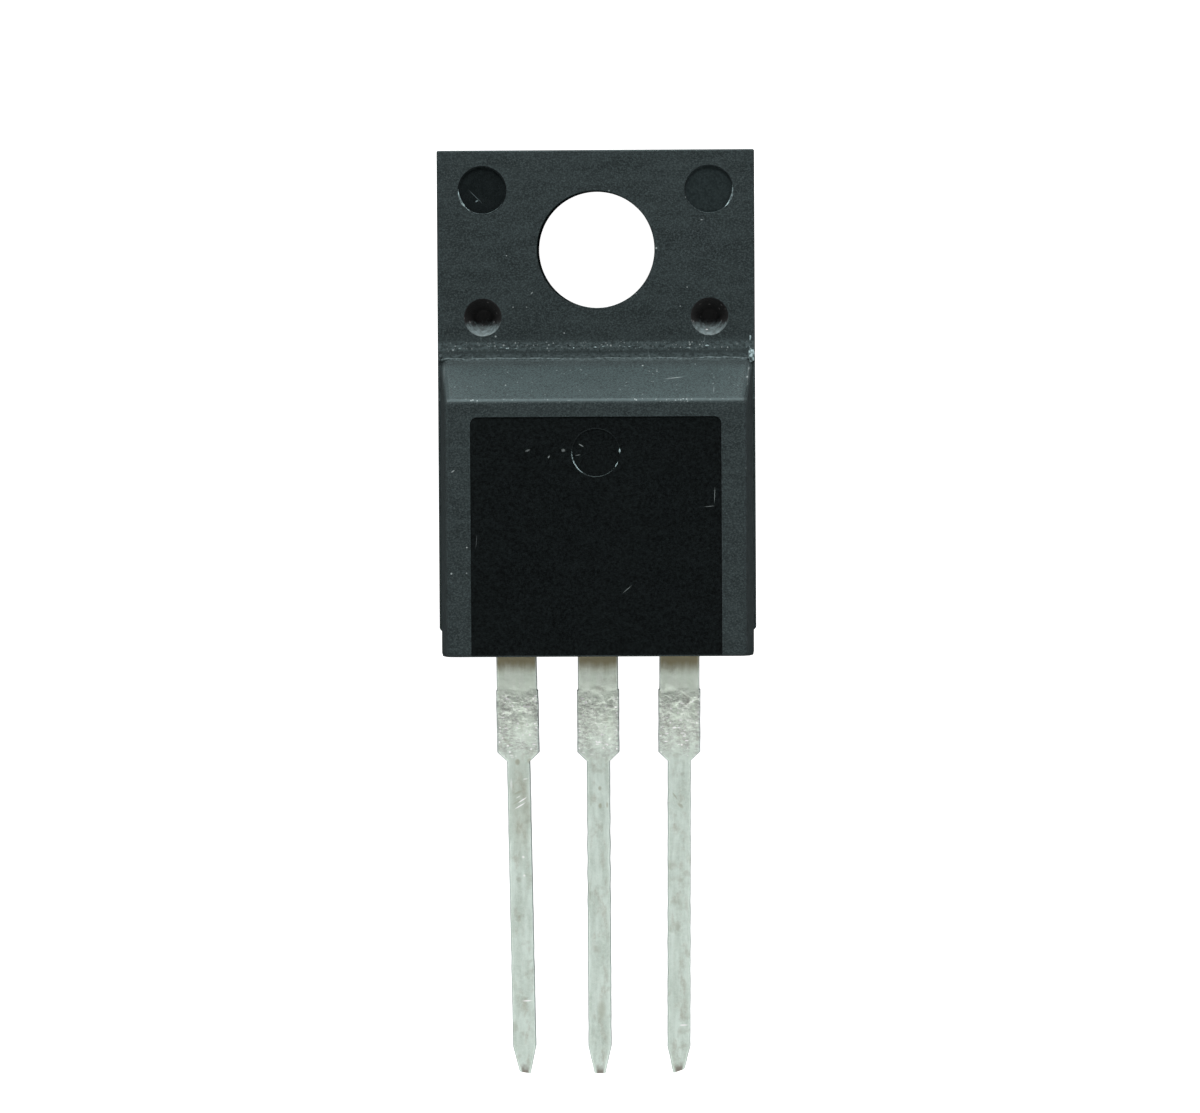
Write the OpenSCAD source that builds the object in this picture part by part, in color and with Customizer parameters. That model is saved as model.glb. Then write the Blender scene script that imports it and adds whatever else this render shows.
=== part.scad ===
// Power transistor in a fully moulded package: mounting tab with one screw hole, raised block, three leads.
// The origin is on the axis of the screw hole, at the back face. +X points right with the front towards
// the viewer, +Y to the tab end and +Z out of the front. Sizes are in millimetres and angles in degrees.

/* [Body] */
// Width at the parting line
body_w = 9.9; // [9.6:0.05:10.7]
// Length from the tab end to the lead end
body_l = 15.8; // [15.4:0.05:16.2]
// Thickness at the raised block
body_t = 4.7; // [4.5:0.05:4.95]
// Thickness of the tab, up to the parting line
tab_t = 2.54; // [2.35:0.01:2.9]
// Length of the tab, from its end to the foot of the ramp
tab_l = 6.5; // [6.3:0.05:6.9]
// Angle between the ramp and the tab
ramp_angle = 60; // [50:1:75]
// Draft on the sides of the block
side_draft = 5.8; // [2:0.1:9]
// Draft on the lead end of the block
end_draft = 3; // [1:0.5:8]
// Draft behind the parting line
back_draft = 5; // [1:0.5:8]
// How far the foot of the block stands in from the edge of the tab
block_step = 0.08; // [0.04:0.01:0.3]
// Chamfer on the two lower corners, behind the parting line
foot_chamfer = 0.9; // [0.5:0.05:1.1]
// Chamfer on the two corners at the tab end
tab_corner = 0.07; // [0.04:0.01:0.2]
// Rounding of the edges of the tab's front
tab_r = 0.07; // [0.04:0.01:0.12]
// Rounding of the edges of the block's front
front_r = 0.12; // [0.05:0.01:0.2]
// Rounding of the edges of the back face
back_r = 0.08; // [0.04:0.01:0.15]
// Thickness of the bead of flash along the foot of the ramp
flash_t = 0.1; // [0.06:0.01:0.14]

/* [Screw hole] */
// Diameter of the hole
hole_d = 3.65; // [3.0:0.05:3.8]
// Distance from the tab end to the centre of the hole
hole_from_end = 3.1; // [2.8:0.05:3.4]
// Chamfer round the front mouth of the hole
hole_rim = 0.02; // [0.02:0.01:0.1]

/* [Mould marks] */
// Diameter of an ejector mark
ejector_d = 1.5; // [1.0:0.05:1.8]
// Depth of the ejector marks on the tab
ejector_depth = 0.1; // [0.03:0.01:0.2]
// Distance of the marks on the tab from its side edge
mark_from_side = 1.42; // [1.1:0.02:1.6]
// Distance of the ejector marks from the tab end
ejector_from_end = 1.25; // [1.1:0.02:1.6]
// Diameter of the mouth of a support-pin recess
recess_d = 1.15; // [0.9:0.05:1.4]
// Diameter of the floor of a support-pin recess
recess_floor_d = 0.45; // [0.2:0.05:0.8]
// Distance of the support-pin recesses from the tab end
recess_from_end = 5.2; // [4.8:0.05:5.5]
// Epoxy left between the floor of a recess and the heat spreader
recess_skin = 0.1; // [0.05:0.01:0.3]

/* [Polished pad] */
// Width of the pad
pad_w = 7.75; // [6:0.05:8.2]
// Distance from the crest of the ramp to the pad
pad_from_crest = 0.52; // [0.3:0.02:1]
// Depth of the pad below the front
pad_depth = 0.03; // [0.02:0.01:0.08]
// Rounding of the pad's upper corners
pad_r = 0.22; // [0.1:0.02:0.5]
// Distance from the upper edge of the pad to the centre of its ejector mark
pad_mark_from_edge = 1.11; // [0.9:0.01:2]
// Depth of the ejector mark in the pad
pad_mark_depth = 0.04; // [0.02:0.01:0.1]

/* [Leads] */
// Distance between neighbouring leads
lead_pitch = 2.54; // [2.5:0.01:2.6]
// Thickness of the lead strip
lead_t = 0.5; // [0.35:0.01:0.6]
// Height of the middle of the strip above the back face
lead_height = 2.76; // [2.7:0.01:2.95]
// Length of the leads outside the body
lead_l = 13; // [12.3:0.1:13.7]
// Width of the root of a lead
root_w = 1.25; // [1.15:0.01:1.45]
// Width of the narrow stretch of a lead
pin_w = 0.72; // [0.65:0.01:0.85]
// Length of the smooth root, up to the sheared tie-bar zone
root_l = 1; // [0.6:0.05:1.4]
// Length of the sheared tie-bar zone
tie_l = 1.95; // [1.2:0.05:2.2]
// How far the tie-bar zone stands out on each side
tie_burr = 0.03; // [0.01:0.01:0.08]
// Length of the sloping shoulder
shoulder_l = 0.28; // [0.15:0.01:0.5]
// Length of the pointed tip
tip_l = 0.84; // [0.4:0.02:1.2]
// Width of the end of the tip
tip_w = 0.34; // [0.2:0.01:0.5]
// Sideways lean of the gate lead at its tip
gate_lean = 0.2; // [-0.3:0.01:0.3]
// Sideways lean of the source lead at its tip
source_lean = -0.08; // [-0.3:0.01:0.3]

/* [Heat spreader] */
// Thickness of the spreader
spreader_t = 1.25; // [1.0:0.05:1.3]
// Epoxy behind the spreader
cover_back = 0.55; // [0.45:0.01:0.6]
// Epoxy beside the spreader
cover_side = 0.75; // [0.6:0.05:1]
// Epoxy between the spreader and the tab end
cover_end = 1.9; // [1.6:0.05:2.2]
// Epoxy between the spreader and the lead end
cover_foot = 2.5; // [2.3:0.05:2.8]
// Epoxy between the spreader and the screw hole
cover_hole = 0.8; // [0.6:0.05:1]
// Length of the drain lead's flat stretch inside the body
drain_inner_l = 1.1; // [0.9:0.05:1.2]

/* [Bond posts] */
// Width of a bond post
post_w = 2.2; // [1.8:0.05:2.3]
// Length of a bond post
post_l = 1.6; // [1.3:0.05:1.7]
// Epoxy between a bond post and the lead end
post_cover = 0.3; // [0.25:0.05:0.5]
// How far a bond post is set outwards from the middle of its lead
post_shift = 0.06; // [0:0.02:0.2]

/* [Die] */
// Width of the die
die_w = 4; // [3.6:0.1:4.6]
// Length of the die
die_l = 3.2; // [2.8:0.1:3.6]
// Thickness of the die
die_t = 0.26; // [0.15:0.01:0.35]
// Distance from the foot of the spreader to the die
die_from_foot = 1.4; // [0.6:0.05:2]
// Thickness of the solder under the die
solder_t = 0.06; // [0.03:0.01:0.1]
// How far the solder stands out round the die
solder_edge = 0.15; // [0.05:0.01:0.3]

/* [Bond wires] */
// Diameter of the gate wire
gate_wire_d = 0.2; // [0.1:0.01:0.25]
// Diameter of a source wire
source_wire_d = 0.38; // [0.25:0.01:0.4]
// Rise of the gate wire's arch above its chord
gate_wire_rise = 0.7; // [0.5:0.05:0.9]
// Rise of a source wire's arch above its chord
source_wire_rise = 0.8; // [0.6:0.05:0.9]
// Distance of the gate wire's foot from the two nearest edges of the die
gate_foot_inset = 0.5; // [0.4:0.05:0.7]
// Distance between the feet of the two source wires on the die
source_pitch = 0.9; // [0.7:0.05:1]
// Distance between the feet of the two source wires on their post
post_pitch = 1; // [0.8:0.05:1.1]

/* [Hidden] */

// Steps of a rounded corner, and facets of a wire and of a hole
arc_steps = 4;
wire_fn = 24;
hole_fn = 72;
// Cutters reach this far past what they cut
past = 1;

// Colours
epoxy = "#323c3c";
tin = "#bec9c0";
silicon = "#4b5060";
solder = "#9a9c9f";
aluminium = "#d3d5d8";

// Places along the body
tab_end = hole_from_end;
lead_end = tab_end - body_l;
block_t = body_t - tab_t;
ramp_foot = tab_end - tab_l;
ramp_crest = ramp_foot - block_t / tan(ramp_angle);
pad_top = ramp_crest - pad_from_crest;

// Places across the body
mark_x = body_w / 2 - mark_from_side;
block_w = body_w - 2 * block_step;
front_w = block_w - 2 * block_t * tan(side_draft);
back_inset = tab_t * tan(back_draft);
// The rounding of the tab's side edges ends on the step beside the block
tab_side_r = min(tab_r, 0.85 * block_step);

// Places of the metal inside the body
lead_back = lead_height - lead_t / 2;
lead_front = lead_height + lead_t / 2;
spreader_front = cover_back + spreader_t;
spreader_w = body_w - 2 * cover_side;
spreader_end = tab_end - cover_end;
spreader_foot = lead_end + cover_foot;
drain_bend = lead_end + drain_inner_l;
post_x = lead_pitch + post_shift;
post_y = lead_end + post_cover + post_l / 2;

// Places of the die and its solder
die_y = spreader_foot + die_from_foot + die_l / 2;
die_back = spreader_front + solder_t;
die_front = die_back + die_t;

// The flattened foot of a bond wire is this many wire diameters long, wide and thick
foot_l = 2.6;
foot_w = 1.5;
foot_t = 0.7;
// Source wires land this far from the middle of the die
source_foot_x = 0.9;

function flat(p) = [p[0], p[1]];
function unit(v) = v / norm(v);
function heading(v) = atan2(v[1], v[0]);
function cross_z(a, b) = a[0] * b[1] - a[1] * b[0];

// Points of the arc that rounds corner b, which lies between corners a and c; b[2] is the radius
function corner_arc(a, b, c) =
    let (
        to_a = unit(flat(a) - flat(b)),
        to_c = unit(flat(c) - flat(b)),
        half = acos(to_a * to_c) / 2,
        centre = flat(b) + unit(to_a + to_c) * b[2] / sin(half),
        start = heading(flat(b) + to_a * b[2] / tan(half) - centre),
        turn = sign(cross_z(to_c, to_a)) * (180 - 2 * half)
    )
    [for (k = [0 : arc_steps])
        let (angle = start + turn * k / arc_steps)
        centre + b[2] * [cos(angle), sin(angle)]];

// Closed outline with its corners rounded; each corner is [x, y, radius]
function rounded(corners) =
    let (n = len(corners))
    [for (i = [0 : n - 1])
        each corners[i][2] > 0
            ? corner_arc(corners[(i + n - 1) % n], corners[i], corners[(i + 1) % n])
            : [flat(corners[i])]];

// Prism of an outline drawn in X and Z, along the whole body
module prism_along_y(corners)
    translate([0, tab_end + past, 0])
        rotate([90, 0, 0])
            linear_extrude(body_l + 2 * past)
                polygon(rounded(corners));

// Prism of an outline drawn in Y and Z, as wide as given and centred on the body
module prism_along_x(corners, width)
    translate([-width / 2, 0, 0])
        rotate([90, 0, 90])
            linear_extrude(width)
                polygon(rounded(corners));

// Section of the body, drafted both ways from the parting line
module body_section()
    prism_along_y([
        [-body_w / 2 + back_inset, 0, back_r],
        [body_w / 2 - back_inset, 0, back_r],
        [body_w / 2, tab_t, tab_side_r],
        [block_w / 2, tab_t, 0],
        [front_w / 2, body_t, front_r],
        [-front_w / 2, body_t, front_r],
        [-block_w / 2, tab_t, 0],
        [-body_w / 2, tab_t, tab_side_r]
    ]);

// Side view of the body: tab, ramp, block and drafted lead end
module body_side()
    prism_along_x([
        [tab_end - back_inset, 0, back_r],
        [tab_end, tab_t, tab_r],
        [ramp_foot, tab_t, 0],
        [ramp_crest, body_t, front_r],
        [lead_end + block_t * tan(end_draft), body_t, front_r],
        [lead_end, tab_t, 0],
        [lead_end + back_inset, 0, back_r]
    ], body_w + 2 * past);

// Cutter for a chamfer on a corner at the origin; way is 1 at the tab end and -1 at the lead end
module corner_cut(size, way)
    translate([0, 0, -past])
        linear_extrude(tab_t + past)
            polygon([
                [-size - past, way * past],
                [past, way * past],
                [past, -way * (size + past)]
            ]);

// Body with its corners cut, and the bead of flash along the foot of the ramp
module body_shape() {
    difference() {
        intersection() {
            body_section();
            body_side();
        }
        for (side = [0, 1])
            mirror([side, 0, 0]) {
                translate([body_w / 2, lead_end, 0])
                    corner_cut(foot_chamfer, -1);
                translate([body_w / 2, tab_end, 0])
                    corner_cut(tab_corner, 1);
            }
    }
    translate([-block_w / 2, ramp_foot, tab_t])
        rotate([0, 90, 0])
            cylinder(h = block_w, d = flash_t, $fn = wire_fn);
}

// Cutter for the screw hole, chamfered at its front mouth
module screw_hole() {
    translate([0, 0, -past])
        cylinder(h = tab_t + 2 * past, d = hole_d, $fn = hole_fn);
    translate([0, 0, tab_t - hole_rim])
        cylinder(h = hole_rim + past, d1 = hole_d, d2 = hole_d + 2 * (hole_rim + past), $fn = hole_fn);
}

// Cutter for a round mark pressed into the face at the given height
module ejector_mark(face, depth)
    translate([0, 0, face - depth])
        cylinder(h = depth + past, d = ejector_d, $fn = hole_fn);

// Cutter for the conical recess of a pin that held the heat spreader in the mould
module support_recess() {
    floor_z = spreader_front + recess_skin;
    depth = tab_t - floor_z;
    top_d = recess_d + (recess_d - recess_floor_d) * past / depth;
    translate([0, 0, floor_z])
        cylinder(h = depth + past, d1 = recess_floor_d, d2 = top_d, $fn = hole_fn);
}

// Cutter for the polished pad, which runs out at the lead end
module pad_cut()
    translate([0, 0, body_t - pad_depth])
        linear_extrude(past)
            polygon(rounded([
                [-pad_w / 2, lead_end - past, 0],
                [pad_w / 2, lead_end - past, 0],
                [pad_w / 2, pad_top, pad_r],
                [-pad_w / 2, pad_top, pad_r]
            ]));

// Epoxy package, moulded in one shot round the metal parts, the die and the wires
module moulded_body()
    color(epoxy)
        difference() {
            body_shape();
            screw_hole();
            for (side = [-1, 1]) {
                translate([side * mark_x, tab_end - ejector_from_end, 0])
                    ejector_mark(tab_t, ejector_depth);
                translate([side * mark_x, tab_end - recess_from_end, 0])
                    support_recess();
            }
            pad_cut();
            translate([0, pad_top - pad_mark_from_edge, 0])
                ejector_mark(body_t - pad_depth, pad_mark_depth);
            drain_frame();
            gate_lead();
            source_lead();
            die_attach_solder();
            mosfet_die();
            gate_bond_wire();
            source_bond_wire_1();
            source_bond_wire_2();
        }

// Flat lead along -Y from inside the body to its pointed tip; lean shifts the tip sideways
module lead(x, inner_l, lean) {
    tie_end = root_l + tie_l;
    // Distances from the lead end of the body, each with half the width of the lead there
    stations = [
        [-inner_l, root_w / 2],
        [root_l, root_w / 2],
        [root_l + tie_burr, root_w / 2 + tie_burr],
        [tie_end, root_w / 2 + tie_burr],
        [tie_end + shoulder_l, pin_w / 2],
        [lead_l - tip_l, pin_w / 2],
        [lead_l, tip_w / 2]
    ];
    last = len(stations) - 1;
    function edge(i, side) = [
        side * stations[i][1] + lean * max(stations[i][0], 0) / lead_l,
        -stations[i][0]
    ];
    translate([x, lead_end, lead_back])
        linear_extrude(lead_t)
            polygon([
                for (i = [0 : last]) edge(i, -1),
                for (i = [last : -1 : 0]) edge(i, 1)
            ]);
}

// Outer lead with its bond post inside the body; side is -1 for the gate and 1 for the source
module outer_lead(side, lean) {
    lead(side * lead_pitch, post_cover + post_l / 2, lean);
    translate([side * post_x - post_w / 2, post_y - post_l / 2, lead_back])
        cube([post_w, post_l, lead_t]);
}

// Left lead
module gate_lead()
    color(tin) outer_lead(-1, gate_lean);

// Right lead
module source_lead()
    color(tin) outer_lead(1, source_lean);

// Copper plate under the die, cut out round the screw hole
module heat_spreader()
    difference() {
        translate([-spreader_w / 2, spreader_foot, cover_back])
            cube([spreader_w, spreader_end - spreader_foot, spreader_t]);
        cylinder(h = body_t, r = hole_d / 2 + cover_hole, $fn = hole_fn);
    }

// Sloping strip that joins the middle lead to the heat spreader
module drain_bridge() {
    slope = atan2(lead_front - spreader_front, spreader_foot - drain_bend);
    bend_shift = lead_t * tan(slope / 2);
    prism_along_x([
        [lead_end + post_cover, lead_back, 0],
        [drain_bend - bend_shift, lead_back, 0],
        [spreader_foot - bend_shift, spreader_front - lead_t, 0],
        [spreader_foot + lead_t, spreader_front - lead_t, 0],
        [spreader_foot + lead_t, spreader_front, 0],
        [spreader_foot, spreader_front, 0],
        [drain_bend, lead_front, 0],
        [lead_end + post_cover, lead_front, 0]
    ], root_w);
}

// Middle lead, bridge and heat spreader, in one piece
module drain_frame()
    color(tin) {
        lead(0, drain_inner_l, 0);
        drain_bridge();
        heat_spreader();
    }

// Solder layer between the spreader and the die
module die_attach_solder()
    color(solder)
        translate([-die_w / 2 - solder_edge, die_y - die_l / 2 - solder_edge, spreader_front])
            cube([die_w + 2 * solder_edge, die_l + 2 * solder_edge, solder_t]);

// Silicon die
module mosfet_die()
    color(silicon)
        translate([-die_w / 2, die_y - die_l / 2, die_back])
            cube([die_w, die_l, die_t]);

// Flattened end of a bond wire, on a surface at the origin
module wire_foot(d)
    translate([-foot_l * d / 2, -foot_w * d / 2, 0])
        cube([foot_l * d, foot_w * d, foot_t * d]);

// Round wire in an upright arch between two surface points, with a flattened foot on each
module bond_wire(from, to, d, rise) {
    step = to - from;
    turn = heading(step);
    tilt = atan2(step[2], norm(flat(step)));
    chord = norm(step);
    arch_r = (chord * chord / 4 + rise * rise) / (2 * rise);
    half_angle = asin(chord / 2 / arch_r);
    translate(from + [0, 0, d / 2])
        rotate([0, -tilt, turn])
            translate([chord / 2, 0, rise - arch_r])
                rotate([90, 0, 0])
                    rotate(90 - half_angle)
                        rotate_extrude(angle = 2 * half_angle, $fn = hole_fn)
                            translate([arch_r, 0])
                                circle(d = d, $fn = wire_fn);
    for (place = [from, to])
        translate(place)
            rotate(turn)
                wire_foot(d);
}

// Thin wire from the gate pad, in a corner of the die, to the gate post
module gate_bond_wire()
    color(aluminium)
        bond_wire(
            [-die_w / 2 + gate_foot_inset, die_y - die_l / 2 + gate_foot_inset, die_front],
            [-post_x, post_y, lead_front],
            gate_wire_d, gate_wire_rise);

// Thick wire from the source pad to the source post; side is -1 for the inner and 1 for the outer one
module source_bond_wire(side)
    color(aluminium)
        bond_wire(
            [source_foot_x + side * source_pitch / 2, die_y, die_front],
            [post_x + side * post_pitch / 2, post_y, lead_front],
            source_wire_d, source_wire_rise);

module source_bond_wire_1() source_bond_wire(-1);

module source_bond_wire_2() source_bond_wire(1);

moulded_body();
gate_lead();
drain_frame();
source_lead();
die_attach_solder();
mosfet_die();
gate_bond_wire();
source_bond_wire_1();
source_bond_wire_2();
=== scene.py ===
"""Looks of a power transistor in a fully moulded package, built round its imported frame.

Shapes are drawn in millimetres along the frame's own axes: the origin is on the axis of the screw hole at
the back face, +Z points out of the front, +Y to the tab end, and the leads run along -Y. A finished mesh is
scaled to metres.
"""

import math

import bmesh
import bpy
from mathutils import Matrix, Vector, noise


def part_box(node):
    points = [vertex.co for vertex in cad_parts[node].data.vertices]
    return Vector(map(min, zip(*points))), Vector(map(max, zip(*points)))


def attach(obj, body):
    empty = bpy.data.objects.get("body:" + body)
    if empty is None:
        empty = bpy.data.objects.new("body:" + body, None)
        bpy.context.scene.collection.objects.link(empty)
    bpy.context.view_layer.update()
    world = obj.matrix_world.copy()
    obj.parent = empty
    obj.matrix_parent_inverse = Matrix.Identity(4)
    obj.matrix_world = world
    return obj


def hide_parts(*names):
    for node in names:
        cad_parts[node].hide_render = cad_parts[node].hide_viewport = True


MM = 0.001

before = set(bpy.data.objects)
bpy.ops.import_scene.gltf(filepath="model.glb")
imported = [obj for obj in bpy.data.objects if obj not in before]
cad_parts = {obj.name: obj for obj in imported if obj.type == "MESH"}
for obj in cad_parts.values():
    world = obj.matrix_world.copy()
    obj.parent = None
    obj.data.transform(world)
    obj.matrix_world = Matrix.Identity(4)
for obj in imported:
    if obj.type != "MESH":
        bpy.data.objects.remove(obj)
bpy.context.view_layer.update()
BODY_LOW, BODY_HIGH = (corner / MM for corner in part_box("moulded_body"))
LEAD_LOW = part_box("gate_lead")[0] / MM

# Camera, fitted to the places of the marks, corners and leads in the photograph
CAMERA_PLACE = (3.284, -1.371, 200)
CAMERA_TURN_DEG = (-2.383, 0.9165, -0.3239)
CAMERA_LENS = 190.1

# Strengths of the studio light
PATCH_LIGHT = 0.03
LEAD_SIDE_LIGHT = 1.7
TAB_SIDE_LIGHT = 0.5
LOW_LAMP_LIGHT = 6.5
KEY_WATTS = 1.4

# Body
HALF_W = 9.9 / 2
TAB_END = 3.1
LEAD_END = BODY_LOW.y
FRONT = BODY_HIGH.z
TAB_T = 2.54
TAB_L = 6.5
RAMP_ANGLE = math.radians(60)
SIDE_DRAFT = math.radians(5.8)
END_DRAFT = math.radians(3)
BACK_DRAFT = math.radians(5)
BLOCK_STEP = 0.08
FOOT_CHAMFER = 0.9
PARTING_LEDGE = 0.01
BLOCK_T = FRONT - TAB_T
RAMP_FOOT = TAB_END - TAB_L
RAMP_CREST = RAMP_FOOT - BLOCK_T / math.tan(RAMP_ANGLE)
BLOCK_HALF_W = HALF_W - BLOCK_STEP
FRONT_HALF_W = BLOCK_HALF_W - BLOCK_T * math.tan(SIDE_DRAFT)
BACK_INSET = TAB_T * math.tan(BACK_DRAFT)

# Roundings of the body's edges, and how near a level an edge counts as lying in it
EDGE_REACH = 0.1
BACK_R = 0.08
TAB_R = 0.07
TAB_CORNER_R = 0.06
FRONT_R = 0.12
RAMP_SIDE_R = 0.28
BLOCK_FOOT_R = 0.15
FOOT_R = 0.04

# Screw hole and mould marks
HOLE_R = 1.825
HOLE_LIP = 0.02
MARK_X = HALF_W - 1.42
EJECTOR_R = 0.75
EJECTOR_Y = TAB_END - 1.25
EJECTOR_DEPTH = 0.1
RECESS_R = 0.575
RECESS_FLOOR_R = 0.225
RECESS_Y = TAB_END - 5.2
RECESS_FLOOR = 1.9
WITNESS_Y = RAMP_FOOT + 0.4

# Polished pad
PAD_HALF_W = 3.875
PAD_TOP = RAMP_CREST - 0.52
PAD_R = 0.22
PAD_DEPTH = 0.03
PAD_MARK_Y = PAD_TOP - 1.11
PAD_MARK_DEPTH = 0.04

# Leads
LEAD_PITCH = 2.54
LEAD_T = 0.5
LEAD_Z = 2.76
LEAD_L = LEAD_END - LEAD_LOW.y
ROOT_W = 1.25
PIN_W = 0.72
ROOT_L = 1.0
TIE_L = 1.95
TIE_END = ROOT_L + TIE_L
TIE_BURR = 0.03
SHOULDER_L = 0.28
TIP_L = 0.84
TIP_W = 0.34
LEAD_EDGE_R = 0.06

# Unevenness of the leads
RING_SPACING = 0.07
WIDTH_WOBBLE = 0.012
SURFACE_WOBBLE = 0.004
DENT_DEPTH = 0.03

# Metal inside the body
POST_COVER = 0.3
POST_L = 1.6
POST_W = 2.2
POST_SHIFT = 0.06
SPREADER_BACK = 0.55
SPREADER_FRONT = 1.8
SPREADER_HALF_W = HALF_W - 0.75
SPREADER_END = TAB_END - 1.9
SPREADER_COVER = 2.5
SPREADER_CUT_R = HOLE_R + 0.8
DRAIN_INNER_L = 1.1


class Nodes:
    """Node tree of a material or the world, with short ways to add nodes and link them."""

    def __init__(self, tree):
        self.tree = tree
        tree.nodes.clear()

    def add(self, kind, inputs=None, **settings):
        node = self.tree.nodes.new(kind)
        for name, value in settings.items():
            setattr(node, name, value)
        for socket, value in (inputs or {}).items():
            self.feed(node.inputs[socket], value)
        return node

    def feed(self, socket, value):
        if isinstance(value, bpy.types.NodeSocket):
            self.tree.links.new(value, socket)
        else:
            socket.default_value = value

    def math(self, operation, *values):
        return self.add("ShaderNodeMath", dict(enumerate(values)), operation=operation).outputs[0]

    def times(self, first, *others):
        """Product of all the values."""
        for other in others:
            first = self.math("MULTIPLY", first, other)
        return first

    def most(self, first, *others):
        """Largest of the values."""
        for other in others:
            first = self.math("MAXIMUM", first, other)
        return first

    def axis(self, vector, name):
        return self.add("ShaderNodeSeparateXYZ", {0: vector}).outputs[name]

    def smooth(self, value, low, high):
        """0 where the value is below low, 1 above high, and smooth between; low may be the larger."""
        inputs = {"Value": value, "From Min": low, "From Max": high}
        return self.add("ShaderNodeMapRange", inputs, interpolation_type="SMOOTHSTEP").outputs[0]

    def between(self, value, low, high):
        inputs = {"Value": value, "To Min": low, "To Max": high}
        return self.add("ShaderNodeMapRange", inputs).outputs[0]

    def step_up(self, value, low, high, top):
        """0 below low and from top on, 1 above high, and smooth between."""
        return self.times(self.smooth(value, low, high), self.math("LESS_THAN", value, top))

    def band(self, value, middle, half):
        """1 near the middle value, fading to 0 at half a width from it."""
        off = self.math("ABSOLUTE", self.math("SUBTRACT", value, middle))
        return self.smooth(off, half, half * 0.3)

    def noise(self, vector, scale, detail=3.0, roughness=0.5):
        inputs = {"Vector": vector, "Scale": scale, "Detail": detail, "Roughness": roughness}
        return self.add("ShaderNodeTexNoise", inputs).outputs[0]

    def stretched(self, vector, scale):
        inputs = {"Vector": vector, "Scale": scale}
        return self.add("ShaderNodeMapping", inputs).outputs[0]

    def mix(self, factor, first, second):
        inputs = {0: factor, 6: first, 7: second}
        return self.add("ShaderNodeMix", inputs, data_type="RGBA").outputs[2]

    def facing_front(self):
        """1 on faces that are seen from the front, the ramp too, and 0 on the steep sides and the back."""
        normal = self.add("ShaderNodeTexCoord").outputs["Normal"]
        return self.smooth(self.axis(normal, "Z"), 0.25, 0.45)

    def millimetres(self):
        """Place in the frame, in millimetres."""
        place = self.add("ShaderNodeTexCoord").outputs["Object"]
        return self.stretched(place, (1 / MM,) * 3)

    def specks(self, vector, per_mm, radius, share):
        """Round specks of a radius in millimetres, in a share of the cells of a grid."""
        inputs = {"Vector": vector, "Scale": per_mm}
        cells = self.add("ShaderNodeTexVoronoi", inputs)
        near = self.smooth(cells.outputs["Distance"], radius * per_mm, radius * per_mm * 0.4)
        chosen = self.math("LESS_THAN", cells.outputs["Color"], share)
        return self.times(near, chosen)

    def streak(self, vector, mark):
        """Spindle-shaped mark: (x, y, length, width, angle in degrees, strength)."""
        x, y, length, width, angle, strength = mark
        flat = 1000.0
        inputs = {
            "Vector": vector,
            "Location": (x, y, 0),
            "Rotation": (0, 0, math.radians(angle)),
            "Scale": (length / 2, width / 2, flat),
        }
        place = self.add("ShaderNodeMapping", inputs, vector_type="TEXTURE").outputs[0]
        reach = self.add("ShaderNodeVectorMath", {0: place}, operation="LENGTH").outputs["Value"]
        return self.times(self.smooth(reach, 1.0, 0.3), strength)

    def streaks(self, vector, marks):
        return self.most(*(self.streak(vector, mark) for mark in marks))

    def bump(self, height, depth):
        """Surface normal of a height from 0 to 1 that is depth millimetres in all."""
        inputs = {"Height": height, "Distance": depth * MM}
        return self.add("ShaderNodeBump", inputs).outputs[0]

    def surface(self, **sockets):
        shader = self.add("ShaderNodeBsdfPrincipled")
        for name, value in sockets.items():
            self.feed(shader.inputs[name.replace("_", " ")], value)
        output = self.add("ShaderNodeOutputMaterial")
        self.tree.links.new(shader.outputs[0], output.inputs[0])


def new_material(name):
    material = bpy.data.materials.new(name)
    material.use_nodes = True
    return material, Nodes(material.node_tree)


def grey(level, tint=(1.0, 1.0, 1.0)):
    return (*(level * channel for channel in tint), 1)


# Colours of the epoxy
EPOXY_TINT = (0.78, 1.03, 1.06)
# Tint of the painted light on the ramp
RAMP_LIGHT_TINT = (0.68, 1.0, 1.03)
PALE_TINT = (0.88, 1.0, 1.0)
EPOXY_SHEEN = grey(1, (0.76, 1, 1.02))
MARK_SHEEN = grey(1, (0.66, 1, 1.04))

# Colours of the leads
WHITE = grey(1)
PIN_DARK = (0.49, 0.575, 0.51, 1)
PIN_LIGHT = (0.67, 0.77, 0.71, 1)
PIN_MOTTLE = (0.39, 0.4, 0.33, 1)
PIN_FROST = (0.78, 0.85, 0.79, 1)
# Painted light: the plating near the body is much paler, making up for the shade the body casts there
NEAR_BODY_LIT_DARK = (0.84, 0.95, 0.82, 1)
NEAR_BODY_LIT_PALE = (0.92, 1, 0.9, 1)
# Brown stain at the root, partly painted shade of the body
ROOT_STAIN_SHADE = (0.25, 0.21, 0.11, 1)
TIE_GRIME = (0.35, 0.345, 0.335, 1)
BLOTCH = (0.3, 0.3, 0.23, 1)
STAIN = (0.29, 0.28, 0.18, 1)
# Copper at the cut tip, partly painted shade
TIP_COPPER_SHADE = (0.2, 0.17, 0.14, 1)
# Painted shade of the lead's rounded long edges
EDGE_SHADE = (0.28, 0.34, 0.35, 1)


def epoxy(level):
    return grey(level, EPOXY_TINT)


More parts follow.
